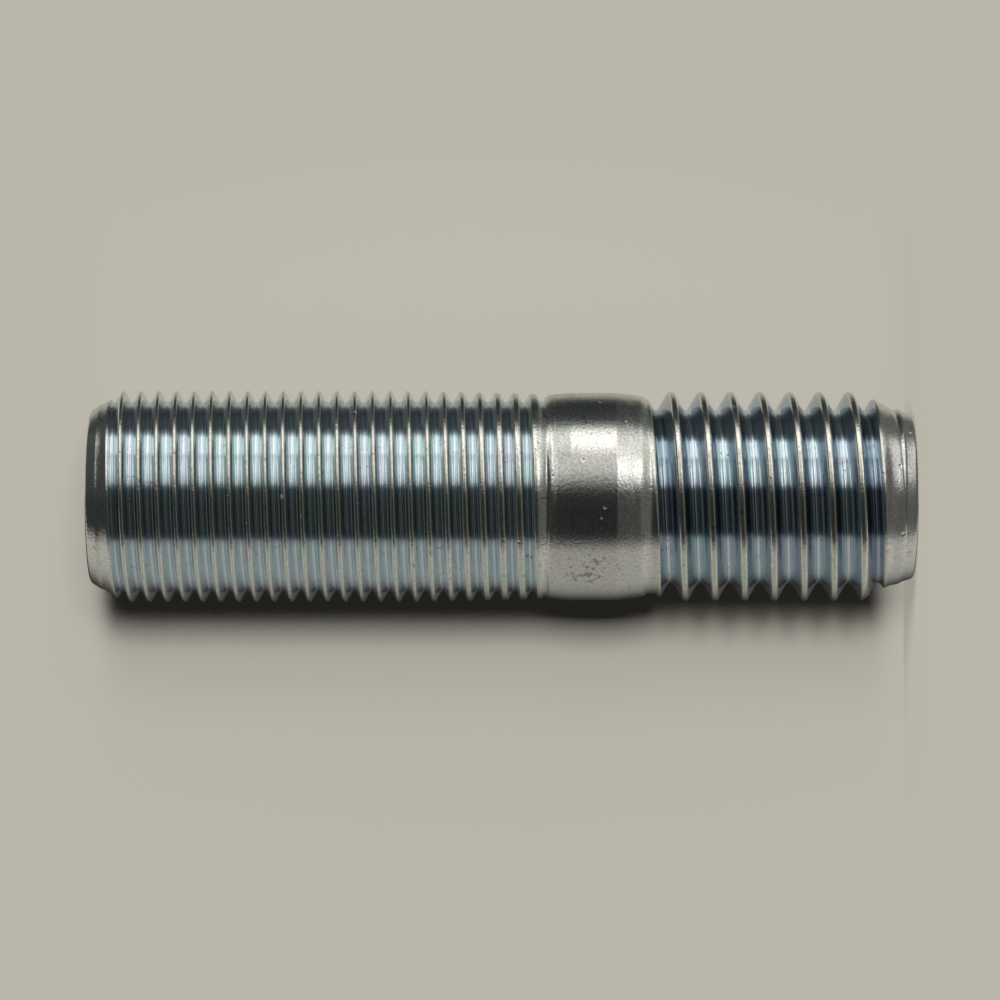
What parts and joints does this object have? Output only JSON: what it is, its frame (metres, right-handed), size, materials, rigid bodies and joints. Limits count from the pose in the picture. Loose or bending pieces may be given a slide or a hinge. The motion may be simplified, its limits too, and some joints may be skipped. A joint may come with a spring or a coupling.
{
  "type": "wheel stud",
  "caption": "Double-ended steel stud with a long fine thread, a short coarse thread and a plain collar between them, for holding a wheel to a hub.",
  "frame": {"origin": "centre of the hub end face, on which the stud stands", "axes": "+Z along the stud's axis, from the coarse hub end up to the fine nut end; +X is the direction that the picture shows as up"},
  "size_m": [0.0178, 0.0178, 0.0693],
  "materials": {
    "zinc_plated_steel": "bright zinc plate with a pale blue passivate, satin and slightly mottled"
  },
  "bodies": {
    "root": {"wheel_stud": "zinc_plated_steel"}
  },
  "joints": []
}
